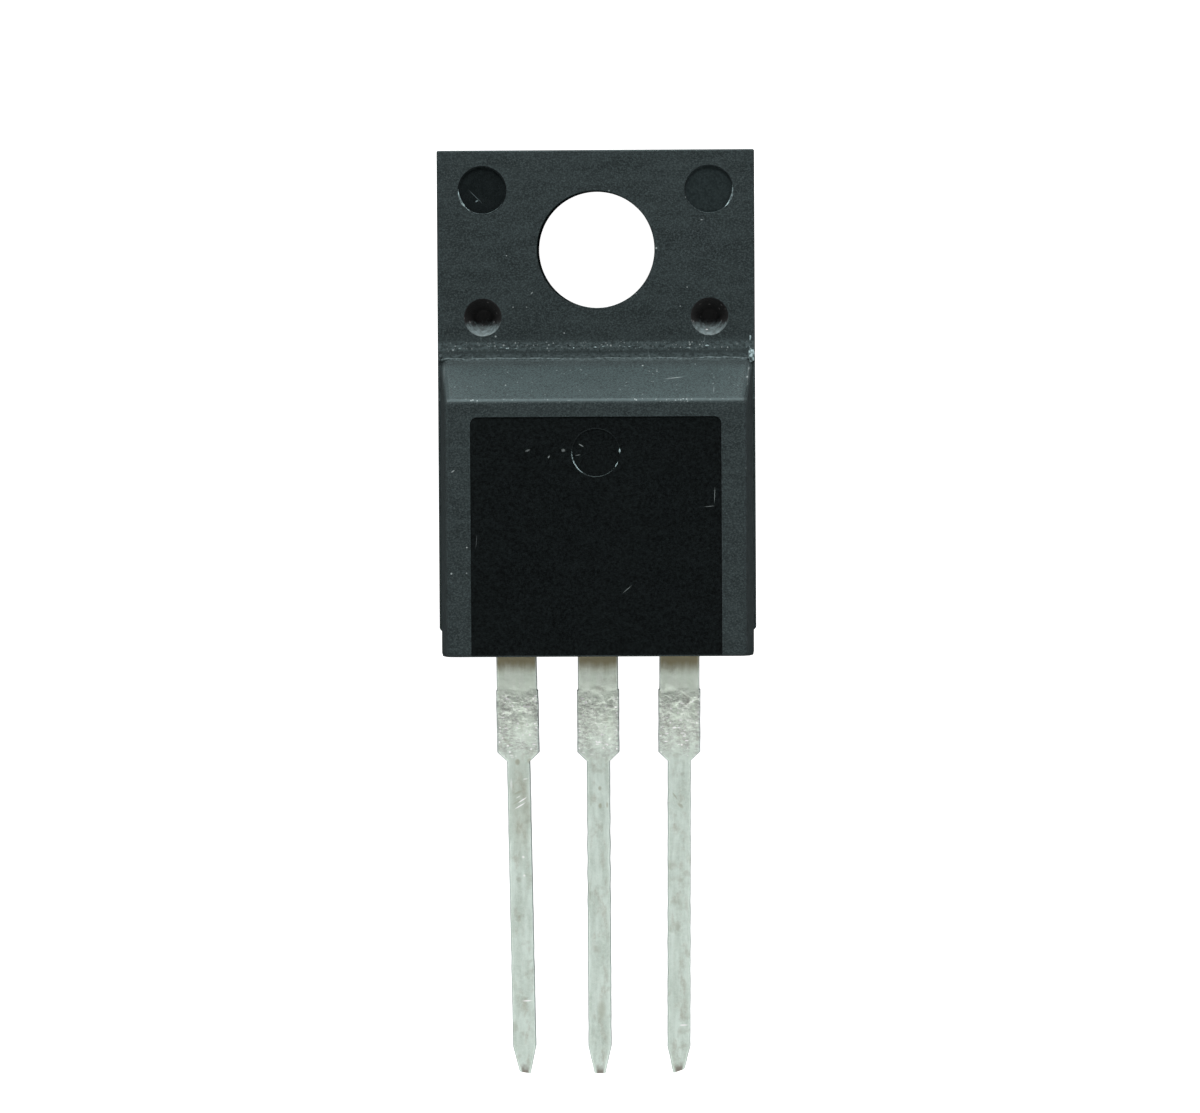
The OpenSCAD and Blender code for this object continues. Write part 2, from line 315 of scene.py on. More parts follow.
def matte_tone(n, place, y, grain, front, on_ramp):
    """Grey of the matte epoxy: wiped, grained, worn at the witness line; painted light on the ramp, the bead
    and the crest.
    """
    wiped = n.noise(n.stretched(place, (0.5, 1.7, 1)), 1.7, 7, 0.6)
    tone = n.mix(n.smooth(wiped, 0.3, 0.7), epoxy(0.002), epoxy(0.01))
    tone = n.mix(n.smooth(grain, 0.42, 0.66), tone, epoxy(0.036))
    # Painted light: the ramp, which faces the tab end, is painted paler and greener than the flat epoxy
    tone = n.mix(n.times(on_ramp, n.smooth(grain, 0.38, 0.62)), tone, grey(0.036, RAMP_LIGHT_TINT))
    # A paler strip on the tab just above the ramp's foot
    near_ramp = n.step_up(n.math("SUBTRACT", RAMP_FOOT, y), -0.9, -0.3, 0.0)
    tone = n.mix(n.times(near_ramp, front, 0.35), tone, epoxy(0.03))
    # Worn paler round the witness line; the band just above the ramp's foot is painted highlight that widens
    # the bead's own
    worn_and_bead_highlight = n.most(n.band(y, WITNESS_Y, 0.2), n.band(y, RAMP_FOOT + 0.06, 0.16))
    patchy = n.smooth(n.noise(n.stretched(place, (0.8, 1.2, 1)), 9, 8, 0.75), 0.42, 0.6)
    tone = n.mix(n.times(worn_and_bead_highlight, front, patchy), tone, epoxy(0.055))
    # Painted highlight along the rounded crest of the ramp
    crest = n.band(y, RAMP_CREST, 0.06)
    cloudy = n.between(n.noise(place, 6, 5), 0.3, 1.2)
    return n.mix(n.times(crest, front, cloudy), tone, epoxy(0.055))


def pale_marks(n, place, y, front, on_ramp):
    """How much of a speck of filler, a scuff, a speck of painted highlight or a scratch shows on the matte
    epoxy.
    """
    # Scuffs at the witness line; along the crest the crowded specks are painted highlight
    scuffs_and_crest_highlight = n.most(n.band(y, WITNESS_Y, 0.2), n.band(y, RAMP_CREST, 0.09))
    crowded = n.between(n.smooth(n.noise(place, 1.6, 3), 0.42, 0.6), 0.25, 1.0)
    dots = n.most(n.specks(place, 12, 0.03, 0.45), n.specks(place, 6, 0.042, 0.3))
    pale = n.most(
        n.specks(place, 5, 0.03, 0.15),
        n.specks(place, 2.2, 0.04, 0.12),
        n.times(scuffs_and_crest_highlight, front, crowded, dots),
        n.times(on_ramp, n.specks(place, 8, 0.03, 0.25), 0.4),
        n.times(front, n.streaks(place, MATTE_SCRATCHES)),
    )
    return n.times(pale, n.between(n.noise(place, 4, 2), 0.0, 1.1))


def matte_epoxy():
    """Spark-eroded mould finish: fine grain, specks of filler, scuffs at the witness line, painted light on
    the ramp and crest.
    """
    material, n = new_material("matte_epoxy")
    place = n.millimetres()
    y = n.axis(place, "Y")
    front = n.facing_front()
    down = n.math("SUBTRACT", RAMP_FOOT, y)
    # The ramp's painted light begins a little below the bead, so a strip of painted shade stays under the
    # bead
    on_ramp = n.times(n.step_up(down, 0.12, 0.32, RAMP_FOOT - RAMP_CREST), front)
    grain = n.noise(n.stretched(place, (0.9, 1.1, 1)), 19, 8, 0.8)
    tone = matte_tone(n, place, y, grain, front, on_ramp)
    n.surface(
        Base_Color=n.mix(pale_marks(n, place, y, front, on_ramp), tone, grey(0.33, PALE_TINT)),
        Roughness=n.between(grain, 0.55, 0.7),
        Specular_IOR_Level=0.22,
        Specular_Tint=EPOXY_SHEEN,
        Normal=n.bump(n.noise(place, 31, 5, 0.8), 0.008),
    )
    return material


def smooth_epoxy():
    """Floors of the marks, smoothed by the flat ends of the pins, the left one most."""
    material, n = new_material("smooth_epoxy")
    place = n.millimetres()
    right = n.smooth(n.axis(place, "X"), -1, 1)
    grain = n.smooth(n.noise(place, 17, 8, 0.8), 0.4, 0.66)
    colour = n.mix(n.noise(place, 5, 4), epoxy(0.002), epoxy(0.008))
    colour = n.mix(n.times(grain, n.between(right, 0.2, 0.8)), colour, epoxy(0.022))
    colour = n.mix(n.streaks(place, TAB_SCRATCHES), colour, epoxy(0.16))
    n.surface(
        Base_Color=colour,
        Roughness=n.between(right, 0.25, 0.42),
        Specular_IOR_Level=0.26,
        Specular_Tint=MARK_SHEEN,
        Normal=n.bump(n.noise(place, 14, 2), 0.008),
    )
    return material


def painted_lit_recess_epoxy():
    """Walls of the recesses: painted light, pale and specked, on the side towards the ramp, and painted
    shade, near black, elsewhere.
    """
    material, n = new_material("painted_lit_recess_epoxy")
    place = n.millimetres()
    ragged = n.math("ADD", n.axis(place, "Y"), n.times(n.noise(place, 11, 5), 0.5))
    # Painted light on the wall towards the ramp, with a ragged edge to the painted shade
    painted_lit_recess = n.smooth(ragged, RECESS_Y + 0.17, RECESS_Y - 0.14)
    pale = n.mix(n.smooth(n.noise(place, 8, 4), 0.3, 0.7), epoxy(0.045), epoxy(0.11))
    specks = n.times(n.specks(place, 8, 0.05, 0.2), n.between(painted_lit_recess, 0.15, 0.8))
    n.surface(
        Base_Color=n.mix(specks, n.mix(painted_lit_recess, grey(0.004), pale), grey(0.4)),
        Roughness=0.6,
        Specular_IOR_Level=0.32,
        Normal=n.bump(n.noise(place, 16, 3), 0.015),
    )
    return material


def polished_epoxy():
    """The pad: nearly mirror-smooth, with handling scratches and a few specks."""
    material, n = new_material("polished_epoxy")
    place = n.millimetres()
    marks = n.most(n.streaks(place, PAD_SCRATCHES), n.specks(place, 3, 0.03, 0.06))
    grain = n.noise(place, 11, 9, 0.85)
    smear = n.noise(n.stretched(place, (0.6, 1.6, 1)), 1.4, 5)
    tone = n.mix(n.smooth(grain, 0.36, 0.68), grey(0.001), epoxy(0.008))
    n.surface(
        Base_Color=n.mix(marks, tone, grey(0.14, PALE_TINT)),
        Roughness=n.between(smear, 0.14, 0.26),
        Specular_IOR_Level=0.42,
        Specular_Tint=EPOXY_SHEEN,
        Normal=n.bump(n.noise(place, 9, 3), 0.0015),
    )
    return material


def torn_epoxy(name, dark, pale):
    """Burrs and flash, paler where the epoxy has torn."""
    material, n = new_material(name)
    place = n.millimetres()
    torn = n.smooth(n.noise(place, 12, 4), 0.4, 0.65)
    n.surface(
        Base_Color=n.mix(torn, epoxy(dark), epoxy(pale)),
        Roughness=0.55,
        Specular_IOR_Level=0.32,
        Specular_Tint=EPOXY_SHEEN,
        Normal=n.bump(n.noise(place, 20, 2), 0.02),
    )
    return material


def clean_tin(n, place, along, edge, streaky):
    """Colour of the plating: painted pale and even near the body, as light making up for the shade the body
    casts; streaked, mottled and frosted along the pin.
    """
    pin = n.mix(streaky, PIN_DARK, PIN_LIGHT)
    mottle = n.smooth(n.noise(n.stretched(place, (2.2, 1, 1)), 1.3, 9, 0.65), 0.5, 0.68)
    in_middle = n.between(n.smooth(edge, 0.95, 0.3), 0.15, 0.65)
    pin = n.mix(n.times(mottle, in_middle), pin, PIN_MOTTLE)
    frost = n.smooth(n.noise(place, 10, 8, 0.8), 0.42, 0.62)
    pin = n.mix(n.times(frost, 0.3), pin, PIN_FROST)
    # Painted light near the body and over the tie-bar zone
    root = n.mix(streaky, NEAR_BODY_LIT_DARK, NEAR_BODY_LIT_PALE)
    return n.mix(n.smooth(along, TIE_END + SHOULDER_L + 0.4, ROOT_L + 0.4), pin, root)


def tie_bar_zone(n, place, along):
    """1 where the lead was cut from its tie bar, with wavy borders, and 0 elsewhere."""
    wavy = n.math("ADD", along, n.between(n.noise(place, 2.5, 4), -0.35, 0.35))
    begun = n.smooth(wavy, ROOT_L - 0.1, ROOT_L + 0.5)
    return n.times(begun, n.smooth(wavy, TIE_END + 0.35, TIE_END - 0.15))


def with_tie_dirt(n, place, across, edge, tie, colour):
    """Adds the grime of the tie-bar zone, thickest by its edges, and white specks of painted highlight on
    it.
    """
    patches = n.smooth(n.noise(place, 1.7, 3), 0.6, 0.4)
    by_edge = n.most(n.smooth(across, 0.1, -0.7), n.smooth(edge, 0.55, 0.95))
    cloud = n.between(n.most(patches, by_edge), 0.12, 1.0)
    grime = n.smooth(n.noise(n.stretched(place, (0.7, 1.4, 1)), 9, 8, 0.8), 0.6, 0.4)
    colour = n.mix(n.times(tie, grime, cloud, 0.75), colour, TIE_GRIME)
    # Painted highlights: white specks where light would catch the dented tin
    glint_highlights = n.specks(n.stretched(place, (1, 3, 1)), 4, 0.08, 0.35)
    highlight_specks = n.specks(place, 9, 0.04, 0.3)
    return n.mix(n.times(tie, n.most(glint_highlights, highlight_specks)), colour, WHITE)


def with_stains(n, place, along, edge, streaky, colour):
    """Adds blotches, stains, nicks and painted highlights; stain and copper with painted shade at root and
    tip; painted shade on the edges.
    """
    blotch = n.smooth(n.noise(place, 2.2, 5), 0.56, 0.74)
    colour = n.mix(n.times(blotch, 0.4), colour, BLOTCH)
    # Brown stain at the root, partly painted shade of the body over the lead's start
    stained_and_shaded_root = n.smooth(n.math("ADD", along, n.times(streaky, 0.12)), 0.65, 0.15)
    colour = n.mix(n.times(stained_and_shaded_root, 0.9), colour, ROOT_STAIN_SHADE)
    front = n.facing_front()
    colour = n.mix(n.times(front, n.streaks(place, LEAD_STAINS)), colour, STAIN)
    # Pale nicks, and painted highlights
    colour = n.mix(n.times(front, n.streaks(place, NICKS_AND_HIGHLIGHTS_ON_LEADS)), colour, WHITE)
    # Copper at the cut tip, partly painted shade of the tip's rolled-over front edge
    ragged = n.math("ADD", along, n.times(n.noise(place, 6, 3), 0.25))
    copper_and_shade_tip = n.times(n.smooth(ragged, LEAD_L - 0.2, LEAD_L + 0.08), n.smooth(edge, 0.8, 0.35))
    colour = n.mix(n.times(copper_and_shade_tip, 0.85), colour, TIP_COPPER_SHADE)
    # Painted shade, darker and bluish, on the rounded long edges of the lead
    sheared = n.smooth(edge, 0.87, 0.99)
    return n.mix(n.times(sheared, 0.55), colour, EDGE_SHADE)


def tin_plate():
    """Dull tin on copper: painted light near the body, stain and painted shade at the root, dirty dented
    tie-bar zone with painted highlights, mottled pin, copper with painted shade at the tip.
    """
    material, n = new_material("tin_plate")
    place = n.millimetres()
    along = n.add("ShaderNodeAttribute", attribute_name="along").outputs["Fac"]
    across = n.add("ShaderNodeAttribute", attribute_name="across").outputs["Fac"]
    edge = n.math("ABSOLUTE", across)
    streaky = n.smooth(n.noise(n.stretched(place, (5, 0.8, 1)), 1, 6), 0.25, 0.75)
    tie = tie_bar_zone(n, place, along)
    colour = clean_tin(n, place, along, edge, streaky)
    colour = with_tie_dirt(n, place, across, edge, tie, colour)
    dents = n.times(n.noise(place, 5, 5), n.between(tie, 0.15, 1.0))
    n.surface(
        Base_Color=with_stains(n, place, along, edge, streaky, colour),
        Metallic=0.85,
        Roughness=n.between(n.noise(place, 7, 3), 0.42, 0.6),
        Normal=n.bump(dents, 0.05),
    )
    return material


def plain_metal(name, dark, light, roughness, lines):
    """Metal inside the body, with rolled lines across it."""
    material, n = new_material(name)
    place = n.millimetres()
    rolled = n.noise(n.stretched(place, (1, lines, 1)), 3, 4)
    normal = n.bump(n.noise(place, 12, 3), 0.01)
    n.surface(Base_Color=n.mix(rolled, dark, light), Metallic=0.9, Roughness=roughness, Normal=normal)
    return material


def silicon():
    """Die: dark, glassy, with the sheen of its thin top layers."""
    material, n = new_material("silicon")
    place = n.millimetres()
    cloudy = n.noise(place, 2, 4)
    colour = n.mix(cloudy, (0.05, 0.06, 0.1, 1), (0.12, 0.13, 0.18, 1))
    n.surface(Base_Color=colour, Roughness=n.between(cloudy, 0.12, 0.25), Metallic=0.3)
    return material


# Scratches, specks, nicks and painted highlights: x, y, length, width, angle in degrees, strength
TAB_SCRATCHES = [
    (-3.74, 1.66, 0.75, 0.035, -45, 0.3),
    (-3.7, 1.52, 0.14, 0.06, 30, 0.7),
]
MATTE_SCRATCHES = [
    (2.42, -4.0, 0.75, 0.04, 6, 0.5),
    (3.65, -4.35, 0.25, 0.03, 85, 0.6),
    (-4.41, -6.83, 0.16, 0.05, 35, 1.0),
    (3.3, 0.9, 0.12, 0.05, 0, 0.8),
    (-2.0, -1.35, 0.14, 0.05, 50, 0.7),
    (4.72, -3.95, 0.6, 0.06, 82, 0.3),
    (4.75, -3.72, 0.14, 0.08, 60, 0.7),
    (4.7, -3.98, 0.1, 0.08, 20, 0.8),
    (4.69, -4.2, 0.1, 0.06, 80, 0.7),
    (-4.74, -4.0, 1.1, 0.09, 88, 0.16),
]
PAD_SCRATCHES = [
    (3.66, -7.6, 0.6, 0.03, 88, 0.8),
    (3.5, -7.95, 0.4, 0.03, 5, 0.6),
    (-0.45, -6.05, 0.22, 0.05, -30, 0.9),
    (-0.55, -6.35, 0.2, 0.04, 10, 0.5),
    (-2.1, -6.2, 0.2, 0.08, 20, 0.5),
    (-1.0, -6.2, 0.16, 0.12, 0, 0.6),
    (-1.45, -6.4, 0.12, 0.06, 60, 0.9),
    (0.95, -10.5, 0.45, 0.035, 40, 0.6),
    (-3.7, -9.0, 0.5, 0.02, 85, 0.4),
]
LEAD_STAINS = [
    (-2.45, -17.3, 0.9, 4.5, 0, 0.22),
    (-2.52, -15.95, 0.24, 0.3, 0, 0.6),
    (-2.14, -15.93, 0.22, 0.26, 20, 0.5),
    (-2.5, -16.9, 0.5, 0.12, 24, 0.5),
    (-2.55, -17.2, 0.5, 0.1, 32, 0.45),
    (-2.5, -17.85, 0.14, 1.0, -12, 0.35),
    (0.04, -16.78, 0.14, 0.2, 0, 0.5),
    (0.05, -17.33, 0.16, 0.24, 0, 0.55),
    (0.27, -17.3, 0.1, 0.26, 0, 0.45),
    (0.06, -23.7, 0.35, 0.9, 0, 0.35),
    (2.38, -17.03, 0.34, 0.07, -55, 0.45),
    (2.55, -17.33, 0.32, 0.14, -40, 0.4),
    (2.86, -19.1, 0.1, 0.6, 0, 0.5),
    (2.88, -21.4, 0.1, 0.4, 0, 0.4),
]
# Nicks in the tin; the marks from y -13.9 to -15.4 are painted highlights on the dented tie-bar zone
NICKS_AND_HIGHLIGHTS_ON_LEADS = [
    (-2.26, -23.42, 0.4, 0.06, 2, 1.0),
    (-2.375, -17.14, 0.42, 0.06, 33, 0.95),
    (-2.45, -17.32, 0.5, 0.06, 31, 0.95),
    (-2.5, -17.04, 0.22, 0.05, 30, 0.6),
    (-2.28, -16.48, 0.2, 0.07, 10, 0.5),
    (-2.72, -16.65, 0.1, 0.5, 0, 0.4),
    (-2.36, -18.92, 0.12, 0.12, 0, 0.6),
    (-2.33, -19.5, 0.1, 0.1, 0, 0.6),
    (2.62, -24.2, 0.34, 0.06, 1, 1.0),
    (-2.86, -13.97, 0.12, 0.07, 0, 1.0),
    (-2.2, -14.22, 0.3, 0.06, 4, 1.0),
    (-1.96, -13.9, 0.1, 0.1, 60, 1.0),
    (-0.5, -13.97, 0.22, 0.07, -12, 1.0),
    (-0.38, -14.1, 0.12, 0.1, 70, 1.0),
    (0.02, -15.34, 0.24, 0.06, 3, 1.0),
    (2.36, -14.9, 0.14, 0.07, 20, 0.9),
]


def object_from(name, bm):
    """Object in the scene with the mesh of bm, which is freed."""
    mesh = bpy.data.meshes.new(name)
    bm.to_mesh(mesh)
    bm.free()
    obj = bpy.data.objects.new(name, mesh)
    bpy.context.scene.collection.objects.link(obj)
    return obj


def solid(name, rings):
    """Closed solid through rings of equally many points, capped at both ends."""
    bm = bmesh.new()
    loops = [[bm.verts.new(point) for point in ring] for ring in rings]
    bm.faces.new(reversed(loops[0]))
    bm.faces.new(loops[-1])
    for lower, upper in zip(loops, loops[1:]):
        for i in range(len(lower)):
            j = (i + 1) % len(lower)
            bm.faces.new((lower[i], lower[j], upper[j], upper[i]))
    bmesh.ops.recalc_face_normals(bm, faces=bm.faces)
    return object_from(name, bm)


def revolved(name, x, y, profile, steps=96):
    """Solid round an upright axis, through (radius, z) pairs from the bottom up."""
    turns = [2 * math.pi * i / steps for i in range(steps)]
    return solid(name, [
        [(x + radius * math.cos(turn), y + radius * math.sin(turn), z) for turn in turns]
        for radius, z in profile
    ])


def tube(name, points, radii, sides=8):
    """Round tube along points that lie in a level plane, with a radius at each point."""
    rings = []
    for i, (point, radius) in enumerate(zip(points, radii)):
        before = points[max(i - 1, 0)]
        after = points[min(i + 1, len(points) - 1)]
        side = (after - before).cross(Vector((0, 0, 1))).normalized()
        turns = [2 * math.pi * k / sides for k in range(sides)]
        rings.append([
            point + radius * (side * math.cos(turn) + Vector((0, 0, math.sin(turn))))
            for turn in turns
        ])
    return solid(name, rings)


def apply_modifiers(obj):
    graph = bpy.context.evaluated_depsgraph_get()
    made = bpy.data.meshes.new_from_object(obj.evaluated_get(graph))
    obj.modifiers.clear()
    obj.data = made


def round_edges(obj, radius_of, segments=4):
    """Rounds each edge by radius_of(middle of the edge), in millimetres; 0 leaves it sharp."""
    mesh = obj.data
    weights = mesh.attributes.new("bevel_weight_edge", "FLOAT", "EDGE")
    for edge in mesh.edges:
        start, end = (mesh.vertices[i].co for i in edge.vertices)
        weights.data[edge.index].value = radius_of((start + end) / 2)
    bevel = obj.modifiers.new("rounding", "BEVEL")
    bevel.limit_method = "WEIGHT"
    bevel.width = 1.0
    bevel.segments = segments
    apply_modifiers(obj)


def combine(obj, tools, operation):
    """Joins the tools to the object or cuts them from it; what they make keeps their material."""
    for tool in tools:
        step = obj.modifiers.new(tool.name, "BOOLEAN")
        step.operation = operation
        step.object = tool
        step.solver = "EXACT"
        step.material_mode = "TRANSFER"
    apply_modifiers(obj)
    for tool in tools:
        bpy.data.objects.remove(tool)


def painted(obj, material):
    obj.data.materials.append(material)
    return obj


def flatten_faces(mesh):
    """Gives the corners of each many-cornered face its own normal, so that slivers do not tilt it."""
    normals = [corner.vector.copy() for corner in mesh.corner_normals]
    for face in mesh.polygons:
        if len(face.vertices) > 4:
            for i in face.loop_indices:
                normals[i] = face.normal.copy()
    mesh.normals_split_custom_set(normals)


def finish_piece(obj, slot, *nodes):
    """Shades a piece, brings it to metres and puts it in the place of CAD nodes."""
    mesh = obj.data
    mesh.transform(Matrix.Scale(MM, 4))
    mesh.shade_smooth()
    mesh.set_sharp_from_angle(angle=math.radians(32))
    flats = obj.modifiers.new("flat_faces", "WEIGHTED_NORMAL")
    flats.keep_sharp = True
    apply_modifiers(obj)
    flatten_faces(obj.data)
    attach(obj, "root")
    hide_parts(*nodes)


def body_base(material):
    """Lower half of the body, drafted towards the back, with its two lower corners chamfered."""
    def outline(inset, z):
        side = HALF_W - inset
        foot = LEAD_END + inset
        near = LEAD_END + FOOT_CHAMFER - inset
        toe = HALF_W - FOOT_CHAMFER + inset
        top = TAB_END - inset
        corners = [(side, top), (-side, top), (-side, near), (-toe, foot), (toe, foot), (side, near)]
        return [(x, y, z) for x, y in corners]

    def radius_of(middle):
        if middle.z < EDGE_REACH:
            return BACK_R
        if middle.z > TAB_T - EDGE_REACH:
            covered = middle.y < LEAD_END + FOOT_CHAMFER
            return 0 if covered else TAB_R
        return TAB_CORNER_R if middle.y > 0 else FOOT_R

    base = painted(solid("base", [outline(BACK_INSET, 0), outline(0, TAB_T)]), material)
    round_edges(base, radius_of)
    return base


def body_block(material):
    """Raised block with the ramp at its tab side."""
    def outline(side, foot, top, z):
        return [(side, top, z), (-side, top, z), (-side, foot, z), (side, foot, z)]

    sunk = 0.3
    sunk_inset = 0.05
    foot = LEAD_END + PARTING_LEDGE
    rings = [
        outline(BLOCK_HALF_W - sunk_inset, foot + sunk_inset, RAMP_FOOT - sunk_inset, TAB_T - sunk),
        outline(BLOCK_HALF_W, foot, RAMP_FOOT, TAB_T),
        outline(FRONT_HALF_W, foot + BLOCK_T * math.tan(END_DRAFT), RAMP_CREST, FRONT),
    ]

    def radius_of(middle):
        if middle.z < TAB_T + EDGE_REACH:
            return 0
        if middle.z > FRONT - EDGE_REACH:
            return FRONT_R
        return RAMP_SIDE_R if middle.y > RAMP_CREST else BLOCK_FOOT_R

    block = painted(solid("block", rings), material)
    round_edges(block, radius_of)
    return block


def flash_line(name, start, end, radius, spread, wander, material, rate=5.7):
    """Ragged line of flash on a face: a half-sunk tube that wanders and breaks off where it is thin.

    rate is how often it swells and thins again, per millimetre.
    """
    spacing = 0.05
    thinnest = 0.004
    steps = round((end - start).length / spacing)
    side = (end - start).cross(Vector((0, 0, 1))).normalized()
    sink = Vector((0, 0, -0.01))
    points = []
    radii = []
    for i in range(steps + 1):
        point = start.lerp(end, i / steps)
        wave = noise.noise(point * 1.3) + 0.5 * noise.noise(point * 4.1)
        ripple = noise.noise(point * rate)
        points.append(point + side * wander * wave + sink)
        radii.append(max(radius + spread * ripple, thinnest))
    return painted(tube(name, points, radii), material)


def flash_flake(side, size, half_w, material):
    """Lump of flash at an end of the bead, size millimetres long."""
    bm = bmesh.new()
    bmesh.ops.create_icosphere(bm, subdivisions=3, radius=1)
    middle = Vector((side * (HALF_W - 0.025 - half_w), RAMP_FOOT + 0.2 * size, TAB_T + 0.012))
    half = Vector((half_w, size / 2, 0.2 * size))
    for vert in bm.verts:
        rough = 1 + 0.35 * noise.noise(vert.co * 1.7 + Vector((side * 3, 0, 5)))
        vert.co = middle + Vector((vert.co.x * half.x, vert.co.y * half.y, vert.co.z * half.z)) * rough
    return painted(object_from("flash_flake", bm), material)


def burr(x, y, z, radius, start, end, thickness, material):
    """Sliver of torn epoxy along the rim of a round mark, thickest in its middle; angles in degrees."""
    steps = 36
    points = []
    radii = []
    for i in range(steps + 1):
        share = i / steps
        turn = math.radians(start + (end - start) * share)
        rough = noise.noise(Vector((turn * 4, radius * 9, x)))
        points.append(Vector((x + radius * math.cos(turn), y + radius * math.sin(turn), z)))
        radii.append(thickness / 2 * max(math.sin(math.pi * share), 0.12) * (1 + 0.35 * rough))
    return painted(tube("burr", points, radii), material)


def screw_hole(material):
    over = 0.5
    return painted(revolved("screw_hole", 0, 0, [
        (HOLE_R, -over),
        (HOLE_R, TAB_T - HOLE_LIP),
        (HOLE_R + HOLE_LIP * 0.3, TAB_T - HOLE_LIP * 0.3),
        (HOLE_R + HOLE_LIP, TAB_T),
        (HOLE_R + HOLE_LIP * 3, TAB_T + over),
    ], 160), material)


def round_mark(x, y, face, depth, material):
    """Cutter for the mark of an ejector pin, with a slightly rounded rim."""
    return painted(revolved("round_mark", x, y, [
        (EJECTOR_R - depth * 0.3, face - depth),
        (EJECTOR_R - depth * 0.1, face - depth * 0.8),
        (EJECTOR_R, face - depth * 0.15),
        (EJECTOR_R + depth * 0.12, face),
        (EJECTOR_R + depth * 0.3, face + 0.1),
    ]), material)


def recess(x, y, material):
    """Cutter for the conical recess of a support pin."""
    lift = 0.1
    slope = (RECESS_R - RECESS_FLOOR_R) / (TAB_T - RECESS_FLOOR)
    return painted(revolved("recess", x, y, [
        (RECESS_FLOOR_R - 0.03, RECESS_FLOOR),
        (RECESS_FLOOR_R + 0.02, RECESS_FLOOR + 0.03),
        (RECESS_R - slope * 0.04, TAB_T - 0.04),
        (RECESS_R + 0.012, TAB_T),
        (RECESS_R + lift, TAB_T + lift),
    ]), material)


def pad_cutter(material):
    """Cutter for the polished pad: rounded upper corners, open at the lead end."""
    corner_steps = 6
    outline = [(-PAD_HALF_W, LEAD_END - 1), (PAD_HALF_W, LEAD_END - 1)]
    for side in (1, -1):
        for i in range(corner_steps + 1):
            turn = math.pi / 2 * i / corner_steps
            if side < 0:
                turn = math.pi / 2 - turn
            outline.append((
                side * (PAD_HALF_W - PAD_R + PAD_R * math.cos(turn)),
                PAD_TOP - PAD_R + PAD_R * math.sin(turn),
            ))
    rings = [[(x, y, z) for x, y in outline] for z in (FRONT - PAD_DEPTH, FRONT + 0.5)]
    return painted(solid("pad", rings), material)


def cad_solid(node, material):
    """Copy of a CAD node, in millimetres, to cut its room out of the body."""
    bm = bmesh.new()
    bm.from_mesh(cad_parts[node].data)
    bmesh.ops.transform(bm, matrix=Matrix.Scale(1 / MM, 4), verts=bm.verts)
    bmesh.ops.remove_doubles(bm, verts=bm.verts, dist=0.0005)
    return painted(object_from("room_" + node, bm), material)


def across_body(y, reach):
    """Ends of a line across the front of the tab."""
    return Vector((-reach, y, TAB_T)), Vector((reach, y, TAB_T))


def epoxy_package():
    """The moulded body with its marks, burrs and flash, and room inside for the metal."""
    matte = matte_epoxy()
    smooth = smooth_epoxy()
    painted_lit_recess = painted_lit_recess_epoxy()
    polished = polished_epoxy()
    flash = torn_epoxy("flash_epoxy", 0.008, 0.048)
    # Pale torn epoxy; where it lines a mark's rim or the tab's side edge it is painted highlight as well
    white = torn_epoxy("whitened_and_highlight_epoxy", 0.06, 0.34)
    body = body_base(matte)
    body.name = "epoxy_package"
    combine(body, [
        body_block(matte),
        flash_line("bead", *across_body(RAMP_FOOT - 0.02, BLOCK_HALF_W - 0.02), 0.06, 0.025, 0.03, flash),
        flash_flake(1, 0.42, 0.1, white),
        flash_flake(-1, 0.24, 0.06, flash),
    ], "UNION")
    combine(body, [
        screw_hole(smooth),
        round_mark(-MARK_X, EJECTOR_Y, TAB_T, EJECTOR_DEPTH, smooth),
        round_mark(MARK_X, EJECTOR_Y, TAB_T, EJECTOR_DEPTH, smooth),
        # Recess walls with painted light and painted shade
        recess(-MARK_X, RECESS_Y, painted_lit_recess),
        recess(MARK_X, RECESS_Y, painted_lit_recess),
        pad_cutter(polished),
        round_mark(0, PAD_MARK_Y, FRONT - PAD_DEPTH, PAD_MARK_DEPTH, polished),
    ], "DIFFERENCE")
    rim = EJECTOR_R - 0.01
    tab_level = TAB_T - 0.01
    pad_level = FRONT - PAD_DEPTH
    inner = HALF_W - 0.16
    side_line = Vector((inner, WITNESS_Y + 0.3, TAB_T)), Vector((inner, RAMP_FOOT + 0.2, TAB_T))
    combine(body, [
        flash_line("witness_1", *across_body(WITNESS_Y + 0.05, inner), 0.002, 0.04, 0.1, flash, 13),
        flash_line("witness_2", *across_body(WITNESS_Y - 0.05, inner - 0.1), 0.0, 0.036, 0.1, white, 11),
        # Painted highlight along the rounded side edge of the tab
        flash_line("side_edge_highlight", *side_line, 0.01, 0.03, 0.03, white),
        # Slivers on the rims of the marks, the pale ones where the light catches the rim: torn epoxy, partly
        # painted highlight
        burr(-MARK_X, EJECTOR_Y, tab_level, rim, 176, 240, 0.06, white),
        burr(-MARK_X, EJECTOR_Y, tab_level, rim, 236, 332, 0.026, flash),
        burr(MARK_X, EJECTOR_Y, tab_level, rim, -50, 10, 0.06, white),
        burr(MARK_X, EJECTOR_Y, tab_level, rim, 196, 314, 0.024, flash),
        burr(0, PAD_MARK_Y, pad_level, rim, 172, 246, 0.036, white),
        burr(0, PAD_MARK_Y, pad_level, rim, 238, 326, 0.022, flash),
        burr(0, PAD_MARK_Y, pad_level, rim, -38, -22, 0.03, white),
        burr(0, PAD_MARK_Y, pad_level, rim, -4, 12, 0.06, white),
    ], "UNION")
    hidden = [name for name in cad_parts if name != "moulded_body"]
    combine(body, [cad_solid(name, smooth) for name in hidden], "DIFFERENCE")
    finish_piece(body, "moulding_epoxy", "moulded_body")


